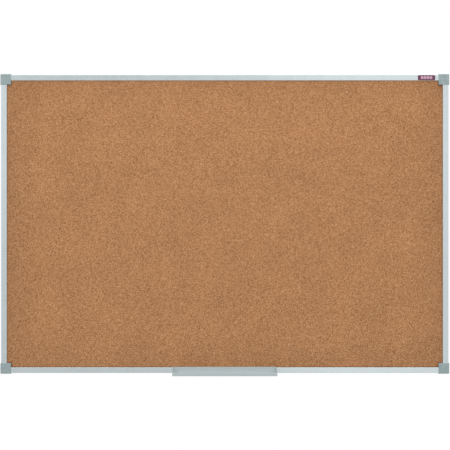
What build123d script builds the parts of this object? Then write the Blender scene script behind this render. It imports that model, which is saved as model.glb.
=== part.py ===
from build123d import *
import os

# A wall-hung cork bulletin board: a cork-faced softboard panel in four aluminium rails.
#
# The rails are one extrusion, cut square and pushed onto the legs of a plastic bracket in each
# corner. A wall screw goes through each bracket, and a moulded cap pushes on over it. A pen
# tray hangs on the bottom rail and slides along it.
#
# The origin is on the wall, at the centre of the four wall screws. X is to the right, Z is up,
# and the room is on the -Y side. Sizes are in millimetres. In every section across a rail, the
# first coordinate is the height off the wall, and the second is the distance in from the
# board's outer edge.

# The board, over the aluminium rails
BOARD_WIDTH = 1500.0
BOARD_HEIGHT = 1000.0
WALL_GAP = 2.0  # the brackets touch the wall, and the rails stand this far off it

# The rail extrusion
RAIL_DEPTH = 18.0
RAIL_FACE = 19.0  # width of the face that shows
RAIL_WALL = 1.4
RAIL_FLANGE = 1.2  # rear flange, web and inner lip
RAIL_LIP = 3.2  # how far the inner edge turns back, down to the cork
RAIL_CHAMBER = 6.6  # width of the hollow that takes a bracket's leg
RAIL_REAR_REACH = 16.0
REBATE_DEPTH = 3.8  # step along the rear outer edge, which the tray hooks into
REBATE_IN = 2.6
FACE_ROUND = 1.0

# The panel's layers
CORK_THICK = 3.0
BACKING_THICK = 0.6
PANEL_CLEARANCE = 0.3

# Corner brackets
BLOCK = 22.0
BLOCK_BELOW_FACE = 0.4
BLOCK_WALL = 2.4
BLOCK_FLOOR = 4.0
BLOCK_ROUND = 3.0
LEG_LENGTH = 34.0
LEG_CLEARANCE = 0.2
LEG_TAPER = 1.5
WALL_SCREW_RADIUS = 2.75
WALL_SCREW_HEAD_RADIUS = 5.0
WALL_SCREW_ANGLE = 90.0

# Corner caps
CAP_OVERHANG = 2.5  # beyond the rails' outer edges
CAP_REACH = 33.2  # in from the rails' outer edges
CAP_PLATE = 2.2
CAP_SKIRT = 2.0
CAP_SIDE_GAP = 0.4  # between the cap and the sides of the rails
CAP_FACE_GAP = 0.3  # between the cap and the face of the rails
CAP_CORK_GAP = 0.4
CAP_WALL_GAP = 1.0
CAP_OUTER_ROUND = 3.5
CAP_SIDE_ROUND = 4.0
CAP_INNER_ROUND = 9.0
CAP_EDGE_ROUND = 1.8
PRONG_THICK = 2.0
PRONG_WIDTH = 5.0
PRONG_LENGTH = 11.0
PRONG_GAP = 0.2
PRONG_TAPER = 0.5

# Screws that hold the rails to the brackets, from behind
RAIL_SCREW_FROM_END = 18.0
RAIL_SCREW_IN = 6.0
RAIL_SCREW_RADIUS = 1.45
RAIL_SCREW_LENGTH = 11.0
RAIL_SCREW_HEAD_RADIUS = 2.8
RAIL_SCREW_HEAD = 1.7
RAIL_SCREW_HEAD_ROUND = 1.0
RAIL_SCREW_TIP = 0.9
RAIL_SCREW_HOLE_RADIUS = 1.6
PILOT_RADIUS = 1.5
PILOT_DEPTH = 12.0
CROSS_LENGTH = 3.4
CROSS_WIDTH = 0.7
CROSS_DEPTH = 0.9

# Pen tray, which hangs on the bottom rail
TRAY_LENGTH = 345.0
TRAY_PLATE = 1.8
TRAY_DROP = 4.0  # how far the floor lies below the rail
TRAY_FRONT = 81.0  # height of the front lip off the wall
TRAY_LIP_WALL = 2.0
TRAY_LIP_TOP = 5.4
TRAY_GAP = 0.3  # all round the rail
TRAY_TOP_HOOK = 1.2
TRAY_REAR_HOOK = 2.0
TRAY_REAR_HOOK_GAP = 0.4
TRAY_OUTER_ROUND = 1.6
TRAY_TIP_ROUND = 0.5
RIDGE_RADIUS = 0.6
RIDGE_COUNT = 5
RIDGE_SPACING = 9.0
BEAD_RADIUS = 2.3
BEAD_HOLE_RADIUS = 1.25
BEAD_OFFSET = 1.6  # from the floor and from the wall beside it
TRAY_END_THICK = 2.0
TRAY_END_ROUND = 1.4
TRAY_END_SHOULDER = 6.0
TRAY_END_FLAT = 16.0
PEG_RADIUS = 1.15
PEG_LENGTH = 8.0

# Badge on the top rail
BADGE_WIDTH = 58.0
BADGE_HEIGHT = 17.0
BADGE_THICK = 1.2
BADGE_ROUND = 3.0
BADGE_RIM = 1.2
BADGE_RECESS = 0.3
BADGE_EDGE_ROUND = 0.4
BADGE_CENTRE_X = 676.5
TAPE_THICK = 0.3
TAPE_INSET = 1.0

# Heights off the wall
RAIL_BACK = WALL_GAP
FLANGE_FRONT = RAIL_BACK + RAIL_FLANGE
REBATE_FRONT = RAIL_BACK + REBATE_DEPTH
RAIL_FRONT = RAIL_BACK + RAIL_DEPTH
UNDER_FACE = RAIL_FRONT - RAIL_WALL
CORE_BACK = FLANGE_FRONT + BACKING_THICK
CORK_FRONT = RAIL_FRONT - RAIL_LIP
CORE_FRONT = CORK_FRONT - CORK_THICK
BLOCK_FRONT = RAIL_FRONT - BLOCK_BELOW_FACE
CAP_BACK = RAIL_FRONT + CAP_FACE_GAP
CAP_FRONT = CAP_BACK + CAP_PLATE
TRAY_BACK = RAIL_FRONT + TRAY_GAP

# Distances in from the board's edge
WEB_IN = RAIL_WALL + RAIL_CHAMBER
WEB_FAR = WEB_IN + RAIL_FLANGE
PANEL_IN = WEB_FAR + PANEL_CLEARANCE

WALL = Plane.XZ  # its normal points into the room
FRONT = Vector(0, -1, 0)
LOW = (Align.MIN, Align.MIN)

# Each rail: the way in from its outer edge, that edge's distance from the centre, and the
# rail's half length
ALONG_WIDTH = BOARD_WIDTH / 2 - BLOCK
ALONG_HEIGHT = BOARD_HEIGHT / 2 - BLOCK
RAILS = {
    "bottom_rail": (Vector(0, 0, 1), BOARD_HEIGHT / 2, ALONG_WIDTH),
    "top_rail": (Vector(0, 0, -1), BOARD_HEIGHT / 2, ALONG_WIDTH),
    "left_rail": (Vector(1, 0, 0), BOARD_WIDTH / 2, ALONG_HEIGHT),
    "right_rail": (Vector(-1, 0, 0), BOARD_WIDTH / 2, ALONG_HEIGHT),
}

# Each corner: the side and level of its point on the wall, and the way along the rail that
# its plane's X follows
CORNERS = {
    "bottom_left": (-1, -1, (1, 0, 0)),
    "bottom_right": (1, -1, (0, 0, 1)),
    "top_right": (1, 1, (-1, 0, 0)),
    "top_left": (-1, 1, (0, 0, -1)),
}


def section_plane(inward, edge, start):
    """A plane across a rail: X is height off the wall and Y is distance in from the edge."""
    run = FRONT.cross(inward)
    return Plane(origin=-inward * edge - run * start, x_dir=FRONT, z_dir=run)


def edge_plane(inward, edge):
    """A plane on the wall whose X runs along a rail and whose Y is distance in from the edge."""
    return Plane(origin=-inward * edge, x_dir=inward.cross(FRONT), z_dir=FRONT)


def corner_plane(side, level, along):
    """A plane on the wall at an outer corner, with its X and Y in along the two edges."""
    place = (side * BOARD_WIDTH / 2, 0, level * BOARD_HEIGHT / 2)
    return Plane(origin=place, x_dir=along, z_dir=FRONT)


def chamber_sketch():
    """The section of the hollow in a rail, which a bracket's leg fills at each end."""
    rebate_in = REBATE_IN + RAIL_WALL
    rebate_wall = REBATE_FRONT + RAIL_WALL
    with BuildSketch(Plane.XY, mode=Mode.PRIVATE) as chamber:
        with BuildLine():
            Polyline(
                (FLANGE_FRONT, rebate_in),
                (FLANGE_FRONT, WEB_IN),
                (UNDER_FACE, WEB_IN),
                (UNDER_FACE, RAIL_WALL),
                (rebate_wall, RAIL_WALL),
                (rebate_wall, rebate_in),
                close=True,
            )
        make_face()
    return chamber


os.makedirs("parts", exist_ok=True)

# The panel: a paper backing, a softboard core and the cork, glued face to face. Its corners
# are notched to clear the brackets.
LAYERS = {
    "backing_sheet": (FLANGE_FRONT, CORE_BACK),
    "softboard_core": (CORE_BACK, CORE_FRONT),
    "cork_sheet": (CORE_FRONT, CORK_FRONT),
}
panel_width = BOARD_WIDTH - 2 * PANEL_IN
panel_height = BOARD_HEIGHT - 2 * PANEL_IN
notch = BLOCK + PANEL_CLEARANCE - PANEL_IN
for name, (back, front) in LAYERS.items():
    with BuildPart() as layer:
        with BuildSketch(WALL.offset(back)):
            Rectangle(panel_width, panel_height)
            with GridLocations(panel_width, panel_height, 2, 2):
                Rectangle(2 * notch, 2 * notch, mode=Mode.SUBTRACT)
        extrude(amount=front - back)
    layer.part.label = name
    export_step(layer.part, f"parts/{name}.step")

# The rails: each has a hollow along its outer side for the bracket legs, and a groove along
# its inner side that grips the panel.
rail_outline = [
    (RAIL_BACK, REBATE_IN),
    (REBATE_FRONT, REBATE_IN),
    (REBATE_FRONT, 0),
    (RAIL_FRONT, 0),
    (RAIL_FRONT, RAIL_FACE),
    (CORK_FRONT, RAIL_FACE),
    (CORK_FRONT, RAIL_FACE - RAIL_FLANGE),
    (UNDER_FACE, RAIL_FACE - RAIL_FLANGE),
    (UNDER_FACE, WEB_FAR),
    (FLANGE_FRONT, WEB_FAR),
    (FLANGE_FRONT, RAIL_REAR_REACH),
    (RAIL_BACK, RAIL_REAR_REACH),
]
for name, (inward, edge, half_length) in RAILS.items():
    screw_place = half_length - RAIL_SCREW_FROM_END
    across = section_plane(inward, edge, half_length)
    with BuildPart() as rail:
        with BuildSketch(across) as section:
            with BuildLine():
                Polyline(*rail_outline, close=True)
            make_face()
            fillet(section.vertices().group_by(Axis.X)[-1], FACE_ROUND)
            add(chamber_sketch().sketch, mode=Mode.SUBTRACT)
        extrude(amount=2 * half_length)
        with BuildSketch(edge_plane(inward, edge)):
            with Locations((-screw_place, RAIL_SCREW_IN), (screw_place, RAIL_SCREW_IN)):
                Circle(RAIL_SCREW_HOLE_RADIUS)
        extrude(amount=FLANGE_FRONT, mode=Mode.SUBTRACT)
    rail.part.label = name
    export_step(rail.part, f"parts/{name}.step")

# The corner brackets: a hollow block round the wall screw, with a leg into each of its two
# rails. One leg is made, and mirrored about the corner's diagonal.
for name, corner in CORNERS.items():
    place = corner_plane(*corner)
    diagonal = Plane(origin=place.origin, z_dir=place.x_dir - place.y_dir)
    leg_root = Plane(origin=place.origin + place.y_dir * BLOCK, x_dir=FRONT, z_dir=place.y_dir)
    with BuildPart(place) as bracket:
        with BuildSketch(place) as base:
            Rectangle(BLOCK, BLOCK, align=LOW)
            fillet(base.vertices().sort_by_distance((0, 0))[0], BLOCK_ROUND)
        extrude(amount=BLOCK_FRONT)
        with BuildSketch(place.offset(BLOCK_FLOOR)) as pocket:
            with Locations((BLOCK_WALL, BLOCK_WALL)):
                Rectangle(BLOCK - 2 * BLOCK_WALL, BLOCK - 2 * BLOCK_WALL, align=LOW)
            fillet(pocket.vertices(), BLOCK_ROUND / 2)
        extrude(amount=BLOCK_FRONT, mode=Mode.SUBTRACT)
        with Locations((BLOCK / 2, BLOCK / 2, BLOCK_FLOOR)):
            CounterSinkHole(
                WALL_SCREW_RADIUS,
                WALL_SCREW_HEAD_RADIUS,
                BLOCK_FLOOR,
                counter_sink_angle=WALL_SCREW_ANGLE,
            )
        with BuildSketch(leg_root):
            add(chamber_sketch().sketch)
            offset(amount=-LEG_CLEARANCE, kind=Kind.INTERSECTION, mode=Mode.REPLACE)
        extrude(amount=LEG_LENGTH)
        tip = bracket.faces().sort_by(Axis(place.origin, place.y_dir))[-1]
        chamfer(tip.edges(), LEG_TAPER, LEG_TAPER / 3, reference=tip)
        with BuildSketch(place.offset(RAIL_BACK)):
            with Locations((RAIL_SCREW_IN, BLOCK + RAIL_SCREW_FROM_END)):
                Circle(PILOT_RADIUS)
        extrude(amount=PILOT_DEPTH, mode=Mode.SUBTRACT)
        mirror(about=diagonal)
    bracket.part.label = f"corner_bracket_{name}"
    export_step(bracket.part, f"parts/corner_bracket_{name}.step")

# The corner caps: each wraps its corner's two outer sides, is cut away where the rails and
# the cork run under it, and pushes four prongs into the bracket's pocket.
rail_room = RAIL_FACE + 2 * CAP_SIDE_GAP
inner_room = CAP_REACH - CAP_SKIRT + CAP_SIDE_GAP
cap_side = CAP_OVERHANG + CAP_REACH
prong_offset = BLOCK / 2 - BLOCK_WALL - PRONG_GAP - PRONG_THICK / 2
for name, corner in CORNERS.items():
    place = corner_plane(*corner)
    with BuildPart() as cap:
        with BuildSketch(place.offset(CAP_WALL_GAP)) as outline:
            with Locations((-CAP_OVERHANG, -CAP_OVERHANG)):
                Rectangle(cap_side, cap_side, align=LOW)
            from_corner = outline.vertices().sort_by_distance((0, 0))
            fillet(from_corner[0], CAP_OUTER_ROUND)
            fillet(from_corner[1:3], CAP_SIDE_ROUND)
            fillet(from_corner[3], CAP_INNER_ROUND)
        extrude(amount=CAP_FRONT - CAP_WALL_GAP)
        fillet(cap.faces().sort_by(Axis.Y)[0].edges(), CAP_EDGE_ROUND)
        with BuildSketch(place) as room:
            with Locations((-CAP_SIDE_GAP, -CAP_SIDE_GAP)):
                Rectangle(inner_room, inner_room, align=LOW)
            fillet(room.vertices().sort_by_distance((0, 0))[-1], CAP_INNER_ROUND - CAP_SKIRT)
            with Locations((-CAP_SIDE_GAP, -CAP_SIDE_GAP)):
                Rectangle(cap_side, rail_room, align=LOW)
                Rectangle(rail_room, cap_side, align=LOW)
        extrude(amount=CAP_BACK, mode=Mode.SUBTRACT)
        with BuildSketch(place):
            with Locations((-CAP_SIDE_GAP, -CAP_SIDE_GAP)):
                Rectangle(cap_side, cap_side, align=LOW)
        extrude(amount=CORK_FRONT + CAP_CORK_GAP, mode=Mode.SUBTRACT)
        with BuildSketch(place.offset(CAP_BACK)):
            with Locations((BLOCK / 2, BLOCK / 2)):
                with PolarLocations(prong_offset, 4):
                    Rectangle(PRONG_THICK, PRONG_WIDTH)
        extrude(amount=-PRONG_LENGTH)
        prong_tips = cap.faces().filter_by(Plane.XZ).group_by(Axis.Y)[-2]
        chamfer(prong_tips.edges(), PRONG_TAPER)
    cap.part.label = f"corner_cap_{name}"
    export_step(cap.part, f"parts/corner_cap_{name}.step")

# The rail screws: eight pan heads with a cross recess, one through the rear of each end of
# each rail and into a bracket's leg.
with BuildPart() as rail_screws:
    for inward, edge, half_length in RAILS.values():
        seat = edge_plane(inward, edge).offset(RAIL_BACK)
        screw_place = half_length - RAIL_SCREW_FROM_END
        screws = [(-screw_place, RAIL_SCREW_IN), (screw_place, RAIL_SCREW_IN)]
        with BuildSketch(seat):
            with Locations(*screws):
                Circle(RAIL_SCREW_HEAD_RADIUS)
        extrude(amount=-RAIL_SCREW_HEAD)
        with BuildSketch(seat):
            with Locations(*screws):
                Circle(RAIL_SCREW_RADIUS)
        extrude(amount=RAIL_SCREW_LENGTH)
        with BuildSketch(seat.offset(-RAIL_SCREW_HEAD)):
            with Locations(*screws):
                Rectangle(CROSS_LENGTH, CROSS_WIDTH)
                Rectangle(CROSS_WIDTH, CROSS_LENGTH)
        extrude(amount=CROSS_DEPTH, mode=Mode.SUBTRACT)
    rims = rail_screws.edges().filter_by(GeomType.CIRCLE).group_by(Axis.Y)
    fillet(rims[-1], RAIL_SCREW_HEAD_ROUND)
    rims = rail_screws.edges().filter_by(GeomType.CIRCLE).group_by(Axis.Y)
    chamfer(rims[0], RAIL_SCREW_TIP)
rail_screws.part.label = "rail_screws"
export_step(rail_screws.part, "parts/rail_screws.step")

# The pen tray: one extrusion that hooks over the bottom rail's inner edge and up into its
# rebate, with a ridged floor, a front lip, and two round beads that take the ends' pegs.
# The floor lies lower than the flange that reaches back under the rail.
flange_top = -TRAY_GAP
flange_bottom = flange_top - TRAY_PLATE
floor_top = -TRAY_DROP
floor_bottom = floor_top - TRAY_PLATE
plate_front = TRAY_BACK + TRAY_PLATE
lip_back = TRAY_FRONT - TRAY_LIP_WALL
hook_bottom = RAIL_FACE + TRAY_GAP
tray_top = hook_bottom + TRAY_TOP_HOOK
hook_back = CORK_FRONT + TRAY_GAP
rear_hook_front = REBATE_FRONT - TRAY_REAR_HOOK_GAP
rear_hook_back = rear_hook_front - TRAY_REAR_HOOK
rear_hook_top = REBATE_IN - TRAY_REAR_HOOK_GAP
tray_outline = [
    (TRAY_BACK, floor_bottom),
    (TRAY_BACK, flange_bottom),
    (rear_hook_back, flange_bottom),
    (rear_hook_back, rear_hook_top),
    (rear_hook_front, rear_hook_top),
    (rear_hook_front, flange_top),
    (TRAY_BACK, flange_top),
    (TRAY_BACK, hook_bottom),
    (hook_back, hook_bottom),
    (hook_back, tray_top),
    (plate_front, tray_top),
    (plate_front, floor_top),
    (lip_back, floor_top),
    (lip_back, TRAY_LIP_TOP),
    (TRAY_FRONT, TRAY_LIP_TOP),
    (TRAY_FRONT, floor_bottom),
]
bead_places = [
    (plate_front + BEAD_OFFSET, floor_top + BEAD_OFFSET),
    (lip_back - BEAD_OFFSET, floor_top + BEAD_OFFSET),
]
bottom_inward, bottom_edge, _ = RAILS["bottom_rail"]
tray_start = section_plane(bottom_inward, bottom_edge, TRAY_LENGTH / 2)
with BuildPart() as pen_tray:
    with BuildSketch(tray_start) as section:
        with BuildLine():
            Polyline(*tray_outline, close=True)
        make_face()
        top_edges = section.vertices().group_by(Axis.Y)[-1]
        lip_edges = section.vertices().filter_by_position(Axis.Y, TRAY_LIP_TOP, TRAY_LIP_TOP)
        fillet(top_edges + lip_edges, TRAY_TIP_ROUND)
        fillet(section.vertices().group_by(Axis.Y)[0], TRAY_OUTER_ROUND)
        with Locations(*bead_places):
            Circle(BEAD_RADIUS)
            Circle(BEAD_HOLE_RADIUS, mode=Mode.SUBTRACT)
        with Locations(((plate_front + lip_back) / 2, floor_top)):
            with GridLocations(RIDGE_SPACING, 0, RIDGE_COUNT, 1):
                Circle(RIDGE_RADIUS)
    extrude(amount=TRAY_LENGTH)
pen_tray.part.label = "pen_tray"
export_step(pen_tray.part, "parts/pen_tray.step")

# The tray's ends: a plate that closes each end of the tray, with a peg pushed into each bead.
for name, side in {"tray_end_left": -1, "tray_end_right": 1}.items():
    end_face = section_plane(bottom_inward, bottom_edge, -side * TRAY_LENGTH / 2)
    with BuildPart() as tray_end:
        with BuildSketch(end_face) as outline:
            with BuildLine():
                sides = Polyline(
                    (TRAY_FRONT - TRAY_END_FLAT, TRAY_LIP_TOP),
                    (TRAY_FRONT, TRAY_LIP_TOP),
                    (TRAY_FRONT, floor_bottom),
                    (TRAY_BACK, floor_bottom),
                    (TRAY_BACK, tray_top),
                    (TRAY_BACK + TRAY_END_SHOULDER, tray_top),
                )
                Spline(sides @ 1, sides @ 0, tangents=[(1, 0), (1, 0)])
            make_face()
            fillet(outline.vertices().group_by(Axis.X)[-1], TRAY_END_ROUND)
        extrude(amount=side * TRAY_END_THICK)
        with BuildSketch(end_face):
            with Locations(*bead_places):
                Circle(PEG_RADIUS)
        extrude(amount=-side * PEG_LENGTH)
    tray_end.part.label = name
    export_step(tray_end.part, f"parts/{name}.step")

# The badge: a small plate with a raised rim round a plain recess, on a pad of sticky tape.
badge_centre = (BADGE_CENTRE_X, BOARD_HEIGHT / 2 - RAIL_FACE / 2)
badge_back = RAIL_FRONT + TAPE_THICK
recess_width = BADGE_WIDTH - 2 * BADGE_RIM
recess_height = BADGE_HEIGHT - 2 * BADGE_RIM
with BuildPart() as badge_tape:
    with BuildSketch(WALL.offset(RAIL_FRONT)):
        with Locations(badge_centre):
            Rectangle(BADGE_WIDTH - 2 * TAPE_INSET, BADGE_HEIGHT - 2 * TAPE_INSET)
    extrude(amount=TAPE_THICK)
badge_tape.part.label = "badge_tape"
export_step(badge_tape.part, "parts/badge_tape.step")

with BuildPart() as badge_plate:
    with BuildSketch(WALL.offset(badge_back)):
        with Locations(badge_centre):
            RectangleRounded(BADGE_WIDTH, BADGE_HEIGHT, BADGE_ROUND)
    extrude(amount=BADGE_THICK)
    fillet(badge_plate.faces().sort_by(Axis.Y)[0].edges(), BADGE_EDGE_ROUND)
    with BuildSketch(WALL.offset(badge_back + BADGE_THICK)):
        with Locations(badge_centre):
            RectangleRounded(recess_width, recess_height, BADGE_ROUND - BADGE_RIM)
    extrude(amount=-BADGE_RECESS, mode=Mode.SUBTRACT)
badge_plate.part.label = "badge_plate"
export_step(badge_plate.part, "parts/badge_plate.step")
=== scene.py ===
import math

import bpy
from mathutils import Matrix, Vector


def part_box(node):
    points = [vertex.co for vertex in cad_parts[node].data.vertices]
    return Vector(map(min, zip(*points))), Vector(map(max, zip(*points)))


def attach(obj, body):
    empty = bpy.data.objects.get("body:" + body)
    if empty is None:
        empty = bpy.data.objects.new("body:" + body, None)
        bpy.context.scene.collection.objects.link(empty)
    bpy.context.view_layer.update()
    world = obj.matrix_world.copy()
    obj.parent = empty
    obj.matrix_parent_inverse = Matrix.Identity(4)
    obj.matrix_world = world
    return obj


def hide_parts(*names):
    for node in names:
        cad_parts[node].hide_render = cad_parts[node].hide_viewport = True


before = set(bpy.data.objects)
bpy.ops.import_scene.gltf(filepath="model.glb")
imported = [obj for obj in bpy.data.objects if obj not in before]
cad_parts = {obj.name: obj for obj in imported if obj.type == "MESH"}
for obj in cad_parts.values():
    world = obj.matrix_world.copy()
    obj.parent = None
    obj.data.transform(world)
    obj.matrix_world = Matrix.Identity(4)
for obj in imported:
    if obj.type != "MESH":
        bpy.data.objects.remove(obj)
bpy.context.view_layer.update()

# A wall-hung cork bulletin board. It hangs with its centre on the origin: the cork faces -Y,
# the wall is the plane y = 0, X is to the right and Z is up. Lengths are in metres.

# ---------------------------------------------------------------- camera, floor and light
# The board is seen square on from six metres away through a long lens, level with its centre.
# The camera is placed first, and everything else is made in front of it.
CAMERA_DISTANCE = 6.0
VIEW_WIDTH = 1.509  # how much of the plane of the rails' faces the picture spans
SENSOR = 0.036
rail_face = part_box("top_rail")[0].y
bpy.ops.object.camera_add(
    location=(0.0007, rail_face - CAMERA_DISTANCE, -0.0037),
    rotation=(math.radians(90), 0, 0),
)
camera = bpy.context.object
camera.data.sensor_width = SENSOR * 1000
camera.data.lens = SENSOR * 1000 * CAMERA_DISTANCE / VIEW_WIDTH
camera.data.clip_end = 50
bpy.context.scene.camera = camera
bpy.context.scene.view_settings.view_transform = "Standard"

# The floor is a pale matt sheet a good way below the board, out of the picture's lower edge.
FLOOR_DROP = 3.1
FLOOR_SIZE = 10.5
bpy.ops.mesh.primitive_plane_add(size=FLOOR_SIZE, location=(0, 0, -FLOOR_DROP))
floor = bpy.context.object
floor.name = "floor"
floor_paint = bpy.data.materials.new("floor_paint")
floor_paint.use_nodes = True
floor_shader = floor_paint.node_tree.nodes["Principled BSDF"]
floor_shader.inputs["Base Color"].default_value = (0.50, 0.50, 0.495, 1)
floor_shader.inputs["Roughness"].default_value = 0.9
floor.data.materials.append(floor_paint)

# The studio is a white tent. The camera sees it plain white. As a light it is dimmer, level
# all round, and brighter overhead than underfoot.
TENT_LIGHT = 0.66
TENT_ZENITH = 2.2  # straight up, as a share of the light from the sides
TENT_NADIR = 0.5  # straight down
world = bpy.data.worlds.new("studio")
world.use_nodes = True
bpy.context.scene.world = world
tent = world.node_tree
tent_light = tent.nodes["Background"]
tent_light.inputs["Color"].default_value = (0.97, 0.985, 1.0, 1)
tent_way = tent.nodes.new("ShaderNodeTexCoord")
tent_parts = tent.nodes.new("ShaderNodeSeparateXYZ")
tent.links.new(tent_way.outputs["Generated"], tent_parts.inputs["Vector"])
tent_up = tent.nodes.new("ShaderNodeMapRange")
tent_up.inputs["From Min"].default_value = 0.2
tent_up.inputs["To Min"].default_value = TENT_LIGHT
tent_up.inputs["To Max"].default_value = TENT_LIGHT * TENT_ZENITH
tent_down = tent.nodes.new("ShaderNodeMapRange")
tent_down.inputs["From Min"].default_value = -1
tent_down.inputs["From Max"].default_value = -0.2
tent_down.inputs["To Min"].default_value = TENT_NADIR
tent_level = tent.nodes.new("ShaderNodeMath")
tent_level.operation = "MULTIPLY"
for way in (tent_up, tent_down):
    tent.links.new(tent_parts.outputs["Z"], way.inputs["Value"])
tent.links.new(tent_up.outputs["Result"], tent_level.inputs[0])
tent.links.new(tent_down.outputs["Result"], tent_level.inputs[1])
tent.links.new(tent_level.outputs["Value"], tent_light.inputs["Strength"])
tent_seen = tent.nodes.new("ShaderNodeBackground")
tent_seen.inputs["Color"].default_value = (1, 1, 1, 1)
tent_seen.inputs["Strength"].default_value = 1.0
tent_path = tent.nodes.new("ShaderNodeLightPath")
tent_mix = tent.nodes.new("ShaderNodeMixShader")
tent.links.new(tent_path.outputs["Is Camera Ray"], tent_mix.inputs["Fac"])
tent.links.new(tent_light.outputs["Background"], tent_mix.inputs[1])
tent.links.new(tent_seen.outputs["Background"], tent_mix.inputs[2])
tent.links.new(tent_mix.outputs["Shader"], tent.nodes["World Output"].inputs["Surface"])

# A soft box hangs over the board. Behind the camera, a dim panel lies level on each side and
# another stands upright between them, which the rails pick up as a slow change along them. A
# last box lights the rear, for the views from behind.
SOFT_BOXES = {
    "overhead_box": ((0.0, -0.65, 1.7), (2.4, 0.4), 8.0, (0, 0, 0)),
    "left_panel": ((-3.2, -6.6, 0.75), (2.0, 1.3), 7.5, (-3.2, 0, 0.75)),
    "right_panel": ((3.2, -6.6, 0.75), (2.0, 1.3), 4.5, (3.2, 0, 0.75)),
    "upright_panel": ((1.0, -6.6, 0.0), (1.3, 6.6), 8.3, (1.0, 0, 0)),
    "rear_box": ((-1.8, 3.2, 1.6), (1.8, 1.8), 45, (0, 0, 0)),
}
for name, (place, size, watts, aim) in SOFT_BOXES.items():
    bpy.ops.object.light_add(type="AREA", location=place)
    soft_box = bpy.context.object
    soft_box.name = name
    soft_box.data.shape = "RECTANGLE"
    soft_box.data.size = size[0]
    soft_box.data.size_y = size[1]
    soft_box.data.energy = watts
    towards = [a - p for a, p in zip(aim, place)]
    across = math.hypot(towards[0], towards[1])
    soft_box.rotation_euler = (
        math.atan2(across, -towards[2]),
        0,
        math.atan2(-towards[0], towards[1]),
    )

# ------------------------------------------------------------------------- backing sheet
# The rear of the panel is a sheet of grey kraft paper, glued to the softboard so that damp
# doesn't bow it. Its fibres lie every way, and the glue leaves it very slightly cockled.


def new_material(name, roughness, metallic=0.0):
    """A material with its shader, and its surface's own coordinates in metres."""
    material = bpy.data.materials.new(name)
    material.use_nodes = True
    tree = material.node_tree
    shader = tree.nodes["Principled BSDF"]
    shader.inputs["Roughness"].default_value = roughness
    shader.inputs["Metallic"].default_value = metallic
    place = tree.nodes.new("ShaderNodeTexCoord").outputs["Object"]
    return material, tree, shader, place


def stretched(tree, place, scale):
    """The coordinates scaled along X, Y and Z, which draws a pattern out along one of them."""
    mapping = tree.nodes.new("ShaderNodeMapping")
    mapping.inputs["Scale"].default_value = scale
    tree.links.new(place, mapping.inputs["Vector"])
    return mapping.outputs["Vector"]


def turned(tree, place, angle):
    """The coordinates turned about Y by an angle in degrees."""
    mapping = tree.nodes.new("ShaderNodeMapping")
    mapping.inputs["Rotation"].default_value = (0, math.radians(angle), 0)
    tree.links.new(place, mapping.inputs["Vector"])
    return mapping.outputs["Vector"]


def noise(tree, place, scale, detail=2.0, rough=0.5):
    """A cloudy pattern with features about 1/scale metres across."""
    texture = tree.nodes.new("ShaderNodeTexNoise")
    texture.inputs["Scale"].default_value = scale
    texture.inputs["Detail"].default_value = detail
    texture.inputs["Roughness"].default_value = rough
    tree.links.new(place, texture.inputs["Vector"])
    return texture.outputs["Fac"]


def grains(tree, place, scale, feature="F1", output="Color"):
    """A mosaic of grains about 1/scale metres across."""
    texture = tree.nodes.new("ShaderNodeTexVoronoi")
    texture.feature = feature
    texture.inputs["Scale"].default_value = scale
    tree.links.new(place, texture.inputs["Vector"])
    if output == "Color":
        split = tree.nodes.new("ShaderNodeSeparateColor")
        tree.links.new(texture.outputs["Color"], split.inputs["Color"])
        return split.outputs["Red"]
    return texture.outputs[output]


def ramp(tree, value, stops):
    """Turns a value into a colour by a list of (position, colour)."""
    node = tree.nodes.new("ShaderNodeValToRGB")
    elements = node.color_ramp.elements
    while len(elements) < len(stops):
        elements.new(0.5)
    for element, (position, colour) in zip(elements, stops):
        element.position = position
        element.color = (*colour, 1)
    tree.links.new(value, node.inputs["Fac"])
    return node.outputs["Color"]


def between(tree, value, low, high, out_low=0.0, out_high=1.0):
    """Maps a value's range to another, and stops at its ends."""
    node = tree.nodes.new("ShaderNodeMapRange")
    for socket, number in zip(
        ("From Min", "From Max", "To Min", "To Max"), (low, high, out_low, out_high)
    ):
        node.inputs[socket].default_value = number
    tree.links.new(value, node.inputs["Value"])
    return node.outputs["Result"]


def sums(tree, operation, first, second):
    """One step of arithmetic on two values, or on a value and a number."""
    node = tree.nodes.new("ShaderNodeMath")
    node.operation = operation
    for socket, value in zip(node.inputs, (first, second)):
        if isinstance(value, (int, float)):
            socket.default_value = value
        else:
            tree.links.new(value, socket)
    return node.outputs["Value"]


def blended(tree, first, second, share):
    """Two patterns in one, of which the second has a share from 0 to 1."""
    rest = sums(tree, "MULTIPLY", first, 1 - share)
    return sums(tree, "ADD", rest, sums(tree, "MULTIPLY", second, share))


def mixed(tree, amount, first, second, blend="MIX"):
    """Two colours, blended by an amount."""
    node = tree.nodes.new("ShaderNodeMix")
    node.data_type = "RGBA"
    node.blend_type = blend
    sockets = (node.inputs[0], node.inputs[6], node.inputs[7])
    for socket, value in zip(sockets, (amount, first, second)):
        if isinstance(value, (int, float)):
            socket.default_value = value
        elif isinstance(value, tuple):
            socket.default_value = (*value, 1)
        else:
            tree.links.new(value, socket)
    return node.outputs[2]


def bumped(tree, shader, height, depth, strength=1.0):
    """Raises the surface by a height from 0 to 1 times a depth in metres."""
    node = tree.nodes.new("ShaderNodeBump")
    node.inputs["Distance"].default_value = depth
    node.inputs["Strength"].default_value = strength
    tree.links.new(height, node.inputs["Height"])
    tree.links.new(node.outputs["Normal"], shader.inputs["Normal"])


def finish_node(node, material):
    """Gives a CAD node its material in every slot."""
    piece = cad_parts[node]
    if not piece.material_slots:
        piece.data.materials.append(material)
    for place in piece.material_slots:
        place.material = material


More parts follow.
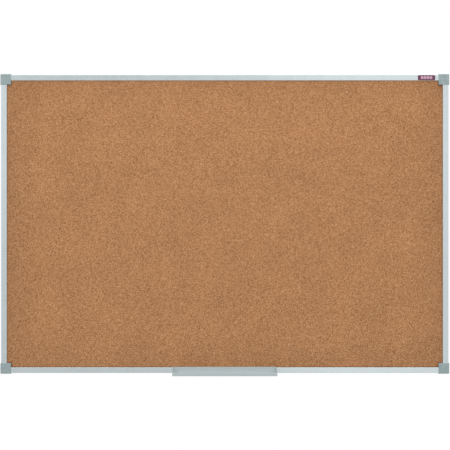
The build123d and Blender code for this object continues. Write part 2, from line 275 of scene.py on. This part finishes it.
kraft, tree, shader, place = new_material("grey_kraft_paper", roughness=0.9)
fibres = noise(tree, stretched(tree, place, (90, 1, 900)), 1, detail=3)
for angle in (37, 79, 116, 151):
    lay = stretched(tree, turned(tree, place, angle), (90, 1, 900))
    fibres = sums(tree, "MAXIMUM", fibres, noise(tree, lay, 1, detail=3))
pulp = noise(tree, place, 55, detail=5, rough=0.7)
tone = blended(tree, fibres, pulp, 0.45)
paper_colour = ramp(
    tree,
    tone,
    [
        (0.44, (0.30, 0.285, 0.255)),
        (0.55, (0.40, 0.385, 0.35)),
        (0.68, (0.50, 0.485, 0.45)),
    ],
)
flecks = between(tree, grains(tree, place, 520), 0.980, 0.988)
paper_colour = mixed(tree, sums(tree, "MULTIPLY", flecks, 0.5), paper_colour, (0.17, 0.14, 0.10))
tree.links.new(paper_colour, shader.inputs["Base Color"])
cockle = noise(tree, place, 9, detail=2)
relief = sums(tree, "ADD", sums(tree, "MULTIPLY", cockle, 6.0), fibres)
bumped(tree, shader, relief, 0.0002, strength=0.6)
finish_node("backing_sheet", kraft)

# ------------------------------------------------------------------------ softboard core
# The middle of the panel is 10 mm of soft fibreboard: wood pulp pressed without glue, light
# brown, with loose fibres at its sawn edges. Pins go into it.
softboard, tree, shader, place = new_material("softboard_fibre", roughness=0.95)
clumps = noise(tree, place, 420, detail=6, rough=0.75)
layers = noise(tree, stretched(tree, place, (40, 900, 40)), 1, detail=2)
tone = blended(tree, clumps, layers, 0.3)
fibre_colour = ramp(
    tree,
    tone,
    [
        (0.30, (0.20, 0.12, 0.06)),
        (0.52, (0.38, 0.26, 0.14)),
        (0.72, (0.55, 0.41, 0.25)),
    ],
)
tree.links.new(fibre_colour, shader.inputs["Base Color"])
bumped(tree, shader, clumps, 0.0006)
finish_node("softboard_core", softboard)

# ---------------------------------------------------------------------------- cork sheet
# The face is 3 mm of agglomerated cork: granules of one to three millimetres, pressed and
# glued into a block and sliced, so it is very slightly uneven. The rails pinch its border,
# which painted shade darkens.
FACE_STEP = 0.0042  # the face's mesh
KNIFE_RELIEF = 0.0003  # how uneven the face is
PINCH_WIDTH = 0.0018  # the border beside the rails, which their lips press down
PINCH_DEPTH = 0.0006
# The cork's dark border is painted shade.
SEAM_SHADE_SPREAD = 0.0009  # how much wider the dark border is along the bottom and round the caps
HAIR = 0.00005  # a margin for picking points that lie on a cut
CLEARANCE = 0.0003  # between the cork's notches and the corner brackets
cork_low, cork_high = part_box("cork_sheet")
cork_size = cork_high - cork_low
lip_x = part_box("right_rail")[0].x
lip_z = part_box("top_rail")[0].z
cap_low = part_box("corner_cap_top_right")[0]
notch_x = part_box("top_rail")[1].x - CLEARANCE
notch_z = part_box("right_rail")[1].z - CLEARANCE

# The sheet starts as a fine grid, cut along its corner notches and along the pinched border.
bpy.ops.object.select_all(action="DESELECT")
bpy.ops.mesh.primitive_grid_add(
    x_subdivisions=round(cork_size.x / FACE_STEP),
    y_subdivisions=round(cork_size.z / FACE_STEP),
    size=1,
    location=(0, cork_low.y, 0),
    rotation=(math.radians(90), 0, 0),
)
cork = bpy.context.object
cork.name = "cork_face"
cork.scale = (cork_size.x, cork_size.z, 1)
bpy.ops.object.transform_apply(location=True, rotation=True, scale=True)
bpy.ops.object.mode_set(mode="EDIT")
cuts_x = [notch_x] + [lip_x - PINCH_WIDTH * part for part in (0, 0.45, 1)]
cuts_z = [notch_z] + [lip_z - PINCH_WIDTH * part for part in (0, 0.45, 1)]
for side in (-1, 1):
    for cut in cuts_x:
        bpy.ops.mesh.select_all(action="SELECT")
        bpy.ops.mesh.bisect(plane_co=(side * cut, 0, 0), plane_no=(1, 0, 0))
    for cut in cuts_z:
        bpy.ops.mesh.select_all(action="SELECT")
        bpy.ops.mesh.bisect(plane_co=(0, 0, side * cut), plane_no=(0, 0, 1))

# The notches are taken out, and the border is pressed back in two steps.
bpy.ops.mesh.select_all(action="DESELECT")
bpy.ops.mesh.select_mode(type="FACE")
bpy.ops.object.mode_set(mode="OBJECT")
for face in cork.data.polygons:
    face.select = abs(face.center.x) > notch_x and abs(face.center.z) > notch_z
bpy.ops.object.mode_set(mode="EDIT")
bpy.ops.mesh.delete(type="FACE")
bpy.ops.mesh.select_mode(type="VERT")
for reach, drop in ((0.45, 0.3), (0, 0.7)):
    bpy.ops.mesh.select_all(action="DESELECT")
    bpy.ops.object.mode_set(mode="OBJECT")
    border = PINCH_WIDTH * reach + HAIR
    for point in cork.data.vertices:
        point.select = abs(point.co.x) > lip_x - border or abs(point.co.z) > lip_z - border
    bpy.ops.object.mode_set(mode="EDIT")
    bpy.ops.transform.translate(value=(0, PINCH_DEPTH * drop, 0))

# The rim is drawn back to the sheet's full thickness and closed with a flat rear.
bpy.ops.mesh.select_all(action="DESELECT")
bpy.ops.mesh.select_mode(type="EDGE")
bpy.ops.mesh.select_non_manifold()
bpy.ops.mesh.extrude_edges_move(TRANSFORM_OT_translate={"value": (0, cork_size.y / 2, 0)})
bpy.ops.transform.resize(value=(1, 0, 1), center_override=(0, cork_high.y, 0))
bpy.ops.mesh.edge_face_add()
bpy.ops.mesh.select_all(action="SELECT")
bpy.ops.mesh.normals_make_consistent(inside=False)
bpy.ops.object.mode_set(mode="OBJECT")

# The knife's unevenness is on the face alone, and stops short of the border.
cork_front = cork.vertex_groups.new(name="front")
front_points = [
    point.index
    for point in cork.data.vertices
    if abs(point.co.x) < lip_x - PINCH_WIDTH and abs(point.co.z) < lip_z - PINCH_WIDTH
]
cork_front.add(front_points, 1.0, "REPLACE")
knife_marks = bpy.data.textures.new("knife_marks", "CLOUDS")
knife_marks.noise_scale = 0.007
knife_marks.noise_depth = 2
uneven = cork.modifiers.new("uneven", "DISPLACE")
uneven.texture = knife_marks
uneven.texture_coords = "LOCAL"
uneven.direction = "Y"
uneven.mid_level = 0.0
uneven.strength = KNIFE_RELIEF
uneven.vertex_group = "front"
bpy.ops.object.modifier_apply(modifier="uneven")
bpy.ops.object.shade_smooth_by_angle(angle=math.radians(40))

# The granules are mosaics of two sizes, torn a little crooked.
agglomerate, tree, shader, place = new_material("agglomerated_cork", roughness=0.85)
sway = tree.nodes.new("ShaderNodeTexNoise")
sway.inputs["Scale"].default_value = 900
sway.inputs["Detail"].default_value = 2
tree.links.new(place, sway.inputs["Vector"])
crooked = tree.nodes.new("ShaderNodeVectorMath")
crooked.operation = "MULTIPLY_ADD"
tree.links.new(sway.outputs["Color"], crooked.inputs[0])
crooked.inputs[1].default_value = (0.0011, 0.0011, 0.0011)
tree.links.new(place, crooked.inputs[2])
torn = crooked.outputs["Vector"]
granules = grains(tree, torn, 430)
crumbs = grains(tree, torn, 820)
grain_tone = blended(tree, granules, crumbs, 0.44)
cork_colour = ramp(
    tree,
    grain_tone,
    [
        (0.10, (0.310, 0.128, 0.048)),
        (0.32, (0.468, 0.207, 0.081)),
        (0.50, (0.578, 0.270, 0.113)),
        (0.70, (0.682, 0.345, 0.158)),
        (0.92, (0.808, 0.450, 0.228)),
    ],
)

# A few granules are dark bark, glue shows between them, and the tone drifts over the sheet.
bark = between(tree, grains(tree, torn, 390), 0.955, 0.975)
cork_colour = mixed(tree, sums(tree, "MULTIPLY", bark, 0.6), cork_colour, (0.14, 0.05, 0.018))
glue = grains(tree, torn, 430, "DISTANCE_TO_EDGE", "Distance")
glue_lines = between(tree, glue, 0.0, 0.10, 1.0, 0.0)
cork_colour = mixed(tree, sums(tree, "MULTIPLY", glue_lines, 0.25), cork_colour, (0.22, 0.09, 0.033))
drift = between(tree, noise(tree, place, 9, detail=3), 0.3, 0.7, 0.95, 1.05)

# Painted shade darkens the cork beside the rails and round the caps, most along the bottom
# and least along the top, and a little over a wider border towards the edges. The strip just
# under the top rail carries painted light.
place_parts = tree.nodes.new("ShaderNodeSeparateXYZ")
tree.links.new(place, place_parts.inputs["Vector"])
clear_x = sums(tree, "SUBTRACT", lip_x, sums(tree, "ABSOLUTE", place_parts.outputs["X"], 0))
clear_z = sums(tree, "SUBTRACT", lip_z, sums(tree, "ABSOLUTE", place_parts.outputs["Z"], 0))
cap_edge = sums(
    tree,
    "MAXIMUM",
    sums(tree, "SUBTRACT", clear_x, lip_x - cap_low.x),
    sums(tree, "SUBTRACT", clear_z, lip_z - cap_low.z),
)
# The painted shade reaches further round the caps and along the bottom than along the top.
clear_cap = sums(tree, "SUBTRACT", sums(tree, "ABSOLUTE", cap_edge, 0), SEAM_SHADE_SPREAD)
seam_shade_lean = between(tree, place_parts.outputs["Z"], -lip_z, lip_z, -SEAM_SHADE_SPREAD, 2 * SEAM_SHADE_SPREAD)
clear_low = sums(tree, "ADD", clear_z, seam_shade_lean)
clear = sums(tree, "MINIMUM", sums(tree, "MINIMUM", clear_x, clear_low), clear_cap)
painted_seam_shade = between(tree, clear, -SEAM_SHADE_SPREAD, PINCH_WIDTH, 0.2, 1.0)
# Painted shade: the cork is darker within about a tenth of a metre of the rails.
painted_edge_shade_x = between(tree, clear_x, 0.0, 0.12, 0.90, 1.0)
painted_edge_shade_z = between(tree, clear_z, 0.0, 0.10, 0.92, 1.0)
# Painted light: the strip just under the top rail is up to a quarter lighter, against its shadow.
below_lip = sums(tree, "SUBTRACT", lip_z, place_parts.outputs["Z"])
painted_light_below_top_rail = between(tree, below_lip, 0.001, 0.0085, 1.25, 1.0)
# The random tone drift, the painted shade and the painted light, multiplied together.
shade = drift
for tint in (painted_seam_shade, painted_light_below_top_rail, painted_edge_shade_x, painted_edge_shade_z):
    shade = sums(tree, "MULTIPLY", shade, tint)
shade_colour = tree.nodes.new("ShaderNodeCombineColor")
for socket in shade_colour.inputs:
    tree.links.new(shade, socket)
cork_colour = mixed(tree, 1.0, cork_colour, shade_colour.outputs["Color"], "MULTIPLY")
tree.links.new(cork_colour, shader.inputs["Base Color"])
tree.links.new(between(tree, grain_tone, 0.1, 0.9, 0.95, 0.72), shader.inputs["Roughness"])
shader.inputs["Specular IOR Level"].default_value = 0.25
grain_height = sums(tree, "SUBTRACT", grain_tone, sums(tree, "MULTIPLY", glue_lines, 0.5))
bumped(tree, shader, grain_height, 0.0005, strength=0.7)
cork.data.materials.append(agglomerate)
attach(cork, "board")
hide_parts("cork_sheet")

# --------------------------------------------------------------------------- frame rails
# Four lengths of one aluminium extrusion, satin anodised. The die leaves fine lines along
# them, and the anodising is a little cloudy. They are cut square at the brackets.


def anodised(name, along, colour, roughness, metallic=1.0):
    """Satin anodised aluminium whose die lines run along one axis."""
    material, tree, shader, place = new_material(name, roughness, metallic)
    shader.inputs["Anisotropic"].default_value = 0.7
    across_lines = tree.nodes.new("ShaderNodeTangent")
    across_lines.direction_type = "RADIAL"
    across_lines.axis = along
    tree.links.new(across_lines.outputs["Tangent"], shader.inputs["Tangent"])
    across = 1400
    scale = {"X": (1.5, across, across), "Z": (across, across, 1.5)}[along]
    die_lines = noise(tree, stretched(tree, place, scale), 1, detail=3, rough=0.6)
    cloud = noise(tree, place, 24, detail=3)
    light = tuple(min(1.0, c * 1.03) for c in colour)
    dark = tuple(c * 0.96 for c in colour)
    tone = blended(tree, die_lines, cloud, 0.4)
    tree.links.new(ramp(tree, tone, [(0.35, dark), (0.65, light)]), shader.inputs["Base Color"])
    dull = between(tree, tone, 0.3, 0.7, roughness - 0.03, roughness + 0.04)
    tree.links.new(dull, shader.inputs["Roughness"])
    bumped(tree, shader, die_lines, 0.00003, strength=0.5)
    return material


RAIL_COLOUR = (0.735, 0.80, 0.805)
level_rail = anodised("anodised_rail_level", "X", RAIL_COLOUR, 0.28)
upright_rail = anodised("anodised_rail_upright", "Z", RAIL_COLOUR, 0.28)
for node in ("top_rail", "bottom_rail"):
    finish_node(node, level_rail)
for node in ("left_rail", "right_rail"):
    finish_node(node, upright_rail)

# ----------------------------------------------------------------------- corner brackets
# Black glass-filled nylon, moulded: a hollow block in each corner with a leg driven into
# each rail. The caps hide them, and a wall screw goes through the bottom of each.
nylon, tree, shader, place = new_material("black_nylon", roughness=0.55)
skin = noise(tree, place, 1800, detail=2)
flow = noise(tree, place, 70, detail=4)
tree.links.new(
    ramp(tree, flow, [(0.35, (0.018, 0.018, 0.019)), (0.65, (0.035, 0.035, 0.037))]),
    shader.inputs["Base Color"],
)
tree.links.new(between(tree, flow, 0.3, 0.7, 0.45, 0.65), shader.inputs["Roughness"])
bumped(tree, shader, skin, 0.00003)
CORNERS = ("top_left", "top_right", "bottom_left", "bottom_right")
for corner in CORNERS:
    finish_node(f"corner_bracket_{corner}", nylon)

# --------------------------------------------------------------------------- rail screws
# Eight zinc-plated pan heads with a cross recess, one through the rear of each rail end into
# a bracket's leg. The plating has a faint yellow and blue cast.
zinc, tree, shader, place = new_material("zinc_plate", roughness=0.32, metallic=1.0)
cast = noise(tree, place, 400, detail=3)
zinc_colour = ramp(
    tree,
    cast,
    [
        (0.35, (0.58, 0.60, 0.64)),
        (0.50, (0.66, 0.66, 0.64)),
        (0.65, (0.70, 0.67, 0.55)),
    ],
)
tree.links.new(zinc_colour, shader.inputs["Base Color"])
tree.links.new(between(tree, cast, 0.3, 0.7, 0.25, 0.42), shader.inputs["Roughness"])
bumped(tree, shader, noise(tree, place, 2500), 0.00002)
finish_node("rail_screws", zinc)

# --------------------------------------------------------------------------- corner caps
# Grey ABS covers, moulded with a fine spark-eroded skin, one over each bracket. They wrap the
# corner's outer sides, and prongs inside them grip the bracket's pocket.
cap_grey, tree, shader, place = new_material("cap_grey_abs", roughness=0.5)
spark = noise(tree, place, 1500, detail=3, rough=0.6)
mottle = noise(tree, place, 160, detail=3)
tone = blended(tree, spark, mottle, 0.6)
tree.links.new(
    ramp(tree, tone, [(0.35, (0.30, 0.37, 0.375)), (0.65, (0.405, 0.487, 0.492))]),
    shader.inputs["Base Color"],
)
tree.links.new(between(tree, spark, 0.3, 0.7, 0.42, 0.60), shader.inputs["Roughness"])
bumped(tree, shader, spark, 0.00006)
for corner in CORNERS:
    finish_node(f"corner_cap_{corner}", cap_grey)

# ------------------------------------------------------------------------------ pen tray
# An aluminium extrusion with the rails' finish, a shade darker. Painted light lightens its inside
# towards the floor, where light bounces. It hangs on the bottom rail, and grey end plates push
# into the two beads along it.
tray_metal = anodised("anodised_tray", "X", (0.565, 0.63, 0.635), 0.45, 0.3)
tree = tray_metal.node_tree
shader = tree.nodes["Principled BSDF"]
tray_colour = shader.inputs["Base Color"].links[0].from_socket
tray_low, tray_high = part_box("pen_tray")
tray_place = tree.nodes.new("ShaderNodeSeparateXYZ")
tree.links.new(tree.nodes.new("ShaderNodeTexCoord").outputs["Object"], tray_place.inputs["Vector"])
# Painted light: behind the lip, the inside is lighter towards the floor, for light bounced off it.
behind_lip = between(tree, tray_place.outputs["Y"], tray_low.y + 0.002, tray_low.y + 0.004)
low_down = between(tree, tray_place.outputs["Z"], tray_high.z - 0.004, tray_low.z + 0.006, 0.0, 1.0)
painted_floor_bounce = sums(tree, "MULTIPLY", behind_lip, low_down)
tray_colour = mixed(tree, painted_floor_bounce, tray_colour, (0.645, 0.715, 0.72))
tree.links.new(tray_colour, shader.inputs["Base Color"])
finish_node("pen_tray", tray_metal)

tray_grey, tree, shader, place = new_material("tray_end_grey_abs", roughness=0.5)
spark = noise(tree, place, 1500, detail=3, rough=0.6)
tree.links.new(
    ramp(tree, spark, [(0.35, (0.42, 0.49, 0.50)), (0.65, (0.50, 0.58, 0.59))]),
    shader.inputs["Base Color"],
)
bumped(tree, shader, spark, 0.00005)
for node in ("tray_end_left", "tray_end_right"):
    finish_node(node, tray_grey)

# --------------------------------------------------------------------------------- badge
# A small acrylic plate, maroon with a raised rim, on a pad of white foam tape. Its emblem is
# a plain row of pinned notes in pale pink, raised a little off the recess.
foam, tree, shader, place = new_material("white_foam_tape", roughness=0.9)
pores = grains(tree, place, 2600, output="Distance")
tree.links.new(
    ramp(tree, pores, [(0.0, (0.50, 0.50, 0.48)), (0.6, (0.80, 0.80, 0.78))]),
    shader.inputs["Base Color"],
)
bumped(tree, shader, pores, 0.0001)
finish_node("badge_tape", foam)

maroon, tree, shader, place = new_material("maroon_acrylic", roughness=0.18)
pearl = noise(tree, place, 900, detail=2)
tree.links.new(
    ramp(tree, pearl, [(0.35, (0.105, 0.012, 0.055)), (0.65, (0.165, 0.024, 0.090))]),
    shader.inputs["Base Color"],
)
tree.links.new(between(tree, pearl, 0.3, 0.7, 0.14, 0.26), shader.inputs["Roughness"])
shader.inputs["Coat Weight"].default_value = 0.5
shader.inputs["Coat Roughness"].default_value = 0.06
finish_node("badge_plate", maroon)

# The notes are thin pale plates with rounded corners, and each has a domed pin of the
# badge's own maroon.
NOTE_SIDE = 0.0088
NOTE_THICK = 0.00018
NOTE_ROUND = 0.0014
NOTE_EDGE = 0.00004  # the soft edge of the print
NOTE_PITCH = 0.0099
NOTE_COUNT = 4
PIN_RADIUS = 0.00105
BADGE_RECESS = 0.0003
badge_low, badge_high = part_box("badge_plate")
badge_middle = (badge_low + badge_high) / 2
recess_floor = badge_low.y + BADGE_RECESS


def repeat_in_row(piece):
    """Copies the active piece along the badge, once for each note."""
    row = piece.modifiers.new("row", "ARRAY")
    row.count = NOTE_COUNT
    row.use_relative_offset = False
    row.use_constant_offset = True
    row.constant_offset_displace = (NOTE_PITCH, 0, 0)
    bpy.ops.object.modifier_apply(modifier="row")


bpy.ops.object.select_all(action="DESELECT")
bpy.ops.mesh.primitive_cube_add(size=1)
notes = bpy.context.object
notes.name = "badge_notes"
notes.scale = (NOTE_SIDE, NOTE_THICK, NOTE_SIDE)
first_note = badge_middle.x - NOTE_PITCH * (NOTE_COUNT - 1) / 2
notes.location = (first_note, recess_floor - NOTE_THICK / 2, badge_middle.z)
bpy.ops.object.transform_apply(location=True, rotation=True, scale=True)
bpy.ops.object.mode_set(mode="EDIT")
bpy.ops.mesh.select_mode(type="EDGE")
bpy.ops.mesh.select_all(action="DESELECT")
bpy.ops.object.mode_set(mode="OBJECT")
for edge in notes.data.edges:
    ends = [notes.data.vertices[i].co for i in edge.vertices]
    edge.select = abs(ends[0].y - ends[1].y) > NOTE_THICK / 2
bpy.ops.object.mode_set(mode="EDIT")
bpy.ops.mesh.bevel(offset=NOTE_ROUND, segments=6)
bpy.ops.object.mode_set(mode="OBJECT")
repeat_in_row(notes)
note_edge = notes.modifiers.new("edge", "BEVEL")
note_edge.width = NOTE_EDGE
note_edge.segments = 2
note_edge.limit_method = "ANGLE"
bpy.ops.object.modifier_apply(modifier="edge")
bpy.ops.object.shade_smooth_by_angle(angle=math.radians(30))

bpy.ops.object.select_all(action="DESELECT")
bpy.ops.mesh.primitive_uv_sphere_add(
    segments=24,
    ring_count=12,
    radius=PIN_RADIUS,
    location=(first_note, recess_floor - NOTE_THICK, badge_middle.z + NOTE_SIDE * 0.22),
    rotation=(math.radians(90), 0, 0),
)
pins = bpy.context.object
pins.name = "badge_pins"
bpy.ops.object.transform_apply(location=True, rotation=True, scale=True)
bpy.ops.object.mode_set(mode="EDIT")
bpy.ops.mesh.select_all(action="SELECT")
bpy.ops.mesh.bisect(
    plane_co=(0, recess_floor - NOTE_THICK, 0),
    plane_no=(0, 1, 0),
    use_fill=True,
    clear_outer=True,
)
bpy.ops.mesh.select_all(action="SELECT")
bpy.ops.transform.resize(
    value=(1, (BADGE_RECESS - NOTE_THICK) / PIN_RADIUS, 1),
    center_override=(0, recess_floor - NOTE_THICK, 0),
)
bpy.ops.mesh.normals_make_consistent(inside=False)
bpy.ops.object.mode_set(mode="OBJECT")
repeat_in_row(pins)
bpy.ops.object.shade_smooth_by_angle(angle=math.radians(50))

pale_print, tree, shader, place = new_material("pale_pink_print", roughness=0.35)
ink = noise(tree, place, 1400, detail=2)
tree.links.new(
    ramp(tree, ink, [(0.35, (0.66, 0.37, 0.50)), (0.65, (0.76, 0.45, 0.58))]),
    shader.inputs["Base Color"],
)
tree.links.new(between(tree, ink, 0.3, 0.7, 0.28, 0.42), shader.inputs["Roughness"])
bumped(tree, shader, ink, 0.00002)
notes.data.materials.append(pale_print)
pins.data.materials.append(maroon)
for piece in (notes, pins):
    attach(piece, "board")
